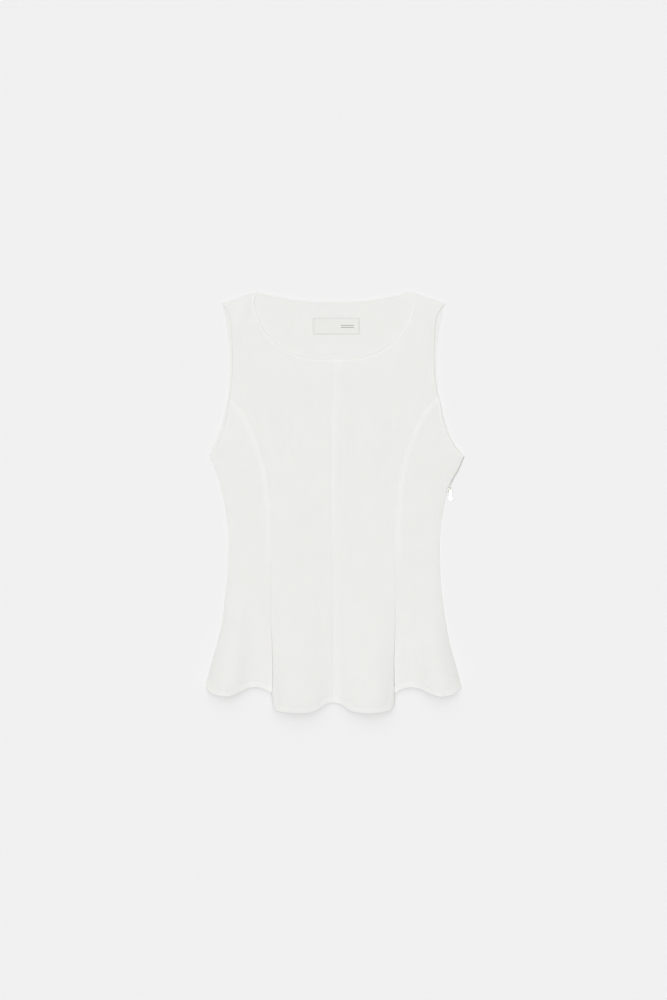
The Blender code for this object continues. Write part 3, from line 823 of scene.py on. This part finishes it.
hem_lines = {}
for side, hand in SIDES:
    neck = smooth_line(from_middle(FRONT_NECK, side))
    centre = smooth_line(from_middle(CENTRE_FRONT, 1))
    neck[0] = centre[0]
    armhole = smooth_line(one_side(FRONT_ARMHOLE, side))
    princess = smooth_line(from_middle(PRINCESS_SEAM, side))
    princess[0] = armhole[-1]
    hem = smooth_line(from_middle(CENTRE_HEM, side))
    u = stations(104, 46, CLOSE_TO_EDGE, CLOSE_TO_EDGE)
    v = stations(600, 168, CLOSE_TO_EDGE, CLOSE_TO_HEM)
    split = np.array((0, 0.5, 1.2, 2.2, 3.6, 5.0, -0.5, -1.2, -2.2, -3.6, -5.0)) / 600
    v = np.unique(np.append(v, CENTRE_UPPER_SHARE + split))
    above = np.clip(v / CENTRE_UPPER_SHARE, 0, 1)
    below = np.clip((v - CENTRE_UPPER_SHARE) / (1 - CENTRE_UPPER_SHARE), 0, 1)
    upper_rows = (v <= CENTRE_UPPER_SHARE)[:, None]
    inner = np.where(upper_rows, along(neck[::-1], above), along(centre, below))
    outer = np.where(upper_rows, along(armhole, above), along(princess, below))
    shoulder = along(np.array([inner[0], outer[0]]), u)
    hem_points = along(hem, u)
    plan = between_edges(shoulder, hem_points[:, :2], inner, outer, u, v)
    points = inset(gore(plan, hem_points), u, SEAM_TOUCH, SEAM_TOUCH, side)
    x, y = points[..., 0], points[..., 1]
    edge_line = coarse(hem, 90)
    edge_line[:, 2] = edge_line[:, 2] * (1 - HEM_ROLL) + FRONT_EDGE_TOP
    to_neck = distance(points[..., :2], coarse(neck))
    to_centre = distance(points[..., :2], coarse(centre))
    to_armhole = distance(points[..., :2], coarse(armhole))
    to_princess = distance(points[..., :2], coarse(princess))
    to_shoulder = distance(points[..., :2], np.array([neck[-1], armhole[0]]))
    to_hem = distance(points, edge_line)
    pulled = np.clip((y + 70) / 60, 0, 1) * (0.3 + 0.7 * np.clip((170 - y) / 50, 0, 1))
    relief = band(to_neck, TURNED_EDGE, NECK_TURNING) + band(to_armhole, TURNED_EDGE, ARMHOLE_TURNING)
    relief += band(to_hem, TURNED_HEM, TURNING) + seam_groove(to_centre) + seam_groove(to_princess)
    relief += creases(x, y, FRONT_CREASES) + unevenness(x, y, FRONT_UNEVENNESS)
    relief -= fall(to_shoulder, SHOULDER_FALL) + fall(to_neck, NECK_FALL)
    # The narrow, strong band at the neck is painted highlight of the turned edge; the hem band follows its
    # turning. The centre seam's bands on the wearer's left are partly allowance under the cloth and partly
    # painted highlight on the lit side of the seam's step.
    layers = allowance(to_neck, 2.4, 1.4) + allowance(to_hem, TURNED_HEM, 0.5)
    if side > 0:
        relief += allowance(to_centre, *CENTRE_ALLOWANCE) * pulled
        layers = layers + allowance(to_centre, 3.0, 0.6) * pulled + allowance(to_centre, 11.0, 0.35)
    else:
        relief += fall(to_centre, CENTRE_SWELL[::-1]) * pulled
    to_edge = np.minimum.reduce([to_neck, to_armhole, to_hem, to_shoulder])
    outside = finished_gore(f"front_centre_{hand}", points, relief, to_edge, layers)
    row = int(np.argmin(np.abs(to_hem[len(u) // 2] - TURNED_HEM + HEM_STITCH_INSIDE)))
    hem_lines[f"front_centre_{hand}"] = outside[:, row]

    armhole = smooth_line(one_side(FRONT_LOWER_ARMHOLE, side))
    side_seam = smooth_line(one_side(SIDE_SEAM, side))
    armhole[-1] = side_seam[0]
    princess[0] = armhole[0]
    hem_rows = from_middle(SIDE_HEM, side)
    hem_rows[-1] = (*side_seam[-1], 0.0)
    hem = smooth_line(hem_rows)
    u = stations(100, 40, CLOSE_TO_EDGE, CLOSE_TO_EDGE)
    v = stations(400, 130, CLOSE_TO_EDGE, CLOSE_TO_HEM)
    hem_points = along(hem, u)
    plan = between_edges(
        along(armhole, u), hem_points[:, :2], along(princess, v), along(side_seam, v), u, v
    )
    points = inset(gore(plan, hem_points), u, SEAM_TOUCH, zip_room(plan[-1, :, 1], side), side)
    x, y = points[..., 0], points[..., 1]
    edge_line = coarse(hem, 90)
    edge_line[:, 2] = edge_line[:, 2] * (1 - HEM_ROLL) + FRONT_EDGE_TOP
    to_armhole = distance(points[..., :2], coarse(armhole))
    to_princess = distance(points[..., :2], coarse(princess))
    to_side = distance(points[..., :2], coarse(points[-1, :, :2], 90))
    to_hem = distance(points, edge_line)
    shaped = np.clip((y + 100) / 40, 0, 1)
    relief = band(to_armhole, TURNED_EDGE, ARMHOLE_TURNING) + band(to_hem, TURNED_HEM, TURNING)
    relief += seam_groove(to_princess) + allowance(to_princess, *PRINCESS_ALLOWANCE) * shaped
    relief += creases(x, y, FRONT_CREASES) + unevenness(x, y, FRONT_UNEVENNESS)
    relief -= fall(to_side, SIDE_FALL)
    # The band beside the princess seam and the narrow one at the armhole are partly allowance under the cloth
    # and partly painted highlight on the lit side of the seam and edge; the hem band follows its turning.
    layers = allowance(to_princess, 9.0, 0.7) * shaped + allowance(to_hem, TURNED_HEM, 0.5)
    layers = layers + allowance(to_armhole, 2.4, 0.6)
    to_edge = np.minimum.reduce([to_armhole, to_hem, to_side])
    outside = finished_gore(f"front_side_{hand}", points, relief, to_edge, layers)
    row = int(np.argmin(np.abs(to_hem[len(u) // 2] - TURNED_HEM + HEM_STITCH_INSIDE)))
    hem_lines[f"front_side_{hand}"] = outside[:, row]

# Stitching on the front hem
# One row of the same thread, close to the upper edge of the turned hem.
for name, line in hem_lines.items():
    stitches(f"{name}_hem_stitches", line, thread)

# The zip's open chain
# A nylon coil on its folded tape, bare from the armpit to the slider, which
# has been drawn down a little way.
COIL_PITCH = 1.1
COIL_RADIUS = 0.42
COIL_WIRE = 0.13
TURN_POINTS = 10
TAPE_RADIUS = 0.3
CHAIN_INSIDE = 0.55   # how far the chain lies inside the seam line
CHAIN_END = 0.5


def coil_painted_shade():
    material, shader, start = new_finish("zip_coil_painted_shade", Roughness=0.4)
    place, _ = in_millimetres(start)
    mottle = start.node("ShaderNodeTexNoise", None, {"Vector": place, "Scale": 2.0, "Detail": 2.0})
    # The coil's dark colour is painted shade: it stands in for the shadow in the open gap between the front's
    # and the back's edges. The mottle is random tone.
    colour = start.node(
        "ShaderNodeMix",
        {"data_type": "RGBA"},
        {0: mottle, 6: (0.22, 0.215, 0.19, 1), 7: (0.42, 0.41, 0.37, 1)},
        output=2,
    )
    start.tree.links.new(colour.socket, shader.inputs["Base Color"])
    bump = start.node("ShaderNodeBump", None, {"Strength": 0.2, "Distance": 0.00005, "Height": mottle})
    start.tree.links.new(bump.socket, shader.inputs["Normal"])
    return material


chain_low, chain_high = (np.array(corner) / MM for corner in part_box("zip_chain"))
seam = smooth_line(one_side(SIDE_SEAM, 1))
chain_y = np.linspace(chain_high[1] - CHAIN_END, chain_low[1] + CHAIN_END, 40)
chain_x = np.interp(-chain_y, -seam[:, 1], seam[:, 0]) - CHAIN_INSIDE
chain_z = (chain_low[2] + chain_high[2]) / 2
chain_line = np.stack([chain_x, chain_y, np.full_like(chain_y, chain_z)], axis=1)
shaded_nylon = coil_painted_shade()
turns = int(length_of(chain_line) / COIL_PITCH)
coil = bpy.data.curves.new("zip_coil_turns", "CURVE")
coil.dimensions = "3D"
coil.bevel_depth = COIL_WIRE * MM
coil.bevel_resolution = 1
coil.use_fill_caps = True
spline = coil.splines.new("POLY")
spline.points.add(turns * TURN_POINTS)
for step, point in enumerate(spline.points):
    angle = 2 * math.pi * step / TURN_POINTS
    share = step / (turns * TURN_POINTS)
    centre, ahead = along(chain_line, [share, min(1, share + 0.01)])
    forward = ahead - centre
    across = np.array([-forward[1], forward[0], 0]) / max(np.linalg.norm(forward), 1e-9)
    place = centre + COIL_RADIUS * (math.cos(angle) * across + math.sin(angle) * np.array([0, 0, 1]))
    point.co = (*(place * MM), 1)
coil.materials.append(shaded_nylon)
coil_piece = bpy.data.objects.new("zip_coil_turns", coil)
bpy.context.collection.objects.link(coil_piece)
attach(coil_piece, "garment")
tape = bpy.data.curves.new("zip_tape_edge", "CURVE")
tape.dimensions = "3D"
tape.bevel_depth = TAPE_RADIUS * MM
tape.bevel_resolution = 2
tape.use_fill_caps = True
spline = tape.splines.new("POLY")
spline.points.add(len(chain_line) - 1)
for place, point in zip(chain_line, spline.points):
    point.co = (*(place * MM), 1)
tape.materials.append(thread)
tape_piece = bpy.data.objects.new("zip_tape_edge", tape)
bpy.context.collection.objects.link(tape_piece)
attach(tape_piece, "garment")
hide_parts("zip_chain")

# The slider and its pull
# Die-cast metal, painted close to the cloth. The pull hangs on a ring and is
# the one piece that swings.
def cast_metal(name, light, dark, roughness):
    material, shader, start = new_finish(name, Metallic=0.85, Roughness=roughness)
    place, _ = in_millimetres(start)
    wear = start.node("ShaderNodeTexNoise", None, {"Vector": place, "Scale": 0.8, "Detail": 4.0})
    fine = start.node("ShaderNodeTexNoise", None, {"Vector": place, "Scale": 6.0, "Detail": 2.0})
    colour = start.node("ShaderNodeMix", {"data_type": "RGBA"}, {0: wear, 6: dark, 7: light}, output=2)
    rough = start.node(
        "ShaderNodeMapRange", None, {"Value": fine, "To Min": roughness - 0.08, "To Max": roughness + 0.12}
    )
    bump = start.node("ShaderNodeBump", None, {"Strength": 0.15, "Distance": 0.00005, "Height": fine})
    start.tree.links.new(colour.socket, shader.inputs["Base Color"])
    start.tree.links.new(rough.socket, shader.inputs["Roughness"])
    start.tree.links.new(bump.socket, shader.inputs["Normal"])
    return material


# The slider takes the pull's cast metal in darker tones, as painted shade of the gap it sits in; the wear
# noise in both is random tone.
shaded_slider_metal = cast_metal("slider_metal_painted_shade", (0.45, 0.44, 0.40, 1), (0.25, 0.24, 0.22, 1), 0.34)
pull_metal = cast_metal("pull_cast_metal", (0.66, 0.65, 0.61, 1), (0.50, 0.49, 0.45, 1), 0.34)
for node, metal in (("zip_slider", shaded_slider_metal), ("zip_pull", pull_metal)):
    solid = bpy.data.objects[node]
    for place in solid.material_slots:
        place.material = metal

# The surface, the light and the camera
# A plain pale sheet under a broad soft light, seen from straight above.
FLOOR_WIDE = 16.0
PHOTO_HIGH = 1.480    # what the photo's height spans on the surface
CAMERA_AWAY = 5.0
CAMERA_OVER = (-0.0022, 0.0028)
SENSOR = 36.0


def floor_finish():
    material, shader, start = new_finish("pale_surface", Roughness=0.85)
    place, _ = in_millimetres(start)
    mottle = start.node("ShaderNodeTexNoise", None, {"Vector": place, "Scale": 0.01, "Detail": 2.0})
    colour = start.node(
        "ShaderNodeMix",
        {"data_type": "RGBA"},
        {0: mottle, 6: (0.818, 0.818, 0.818, 1), 7: (0.822, 0.822, 0.822, 1)},
        output=2,
    )
    start.tree.links.new(colour.socket, shader.inputs["Base Color"])
    return material


half = FLOOR_WIDE / 2
floor_mesh = bpy.data.meshes.new("floor")
floor_mesh.from_pydata(
    [(-half, -half, -0.0002), (half, -half, -0.0002), (half, half, -0.0002), (-half, half, -0.0002)],
    [],
    [(0, 1, 2, 3)],
)
floor_mesh.materials.append(floor_finish())
floor = bpy.data.objects.new("floor", floor_mesh)
bpy.context.collection.objects.link(floor)

world = bpy.data.worlds.new("soft_daylight")
world.use_nodes = True
sky = world.node_tree.nodes["Background"]
sky.inputs["Color"].default_value = (1.0, 1.0, 1.0, 1)
sky.inputs["Strength"].default_value = 0.15
bpy.context.scene.world = world


def soft_light(name, comes_from, spread, strength):
    """A broad, distant light whose disc spans so many degrees."""
    data = bpy.data.lights.new(name, "SUN")
    data.energy = strength
    data.angle = math.radians(spread)
    made = bpy.data.objects.new(name, data)
    made.rotation_euler = Vector(comes_from).to_track_quat("Z", "Y").to_euler()
    bpy.context.collection.objects.link(made)


soft_light("overhead_softbox", (-0.02, -0.16, 1.0), 36, 2.1)
soft_light("upper_fill", (-0.1, 0.75, 1.0), 80, 1.0)

scene = bpy.context.scene
scene.view_settings.view_transform = "Standard"
camera_data = bpy.data.cameras.new("overhead_camera")
camera_data.sensor_fit = "VERTICAL"
camera_data.sensor_height = SENSOR
camera_data.lens = SENSOR * CAMERA_AWAY / PHOTO_HIGH
camera = bpy.data.objects.new("overhead_camera", camera_data)
camera.location = (*CAMERA_OVER, CAMERA_AWAY)
bpy.context.collection.objects.link(camera)
scene.camera = camera
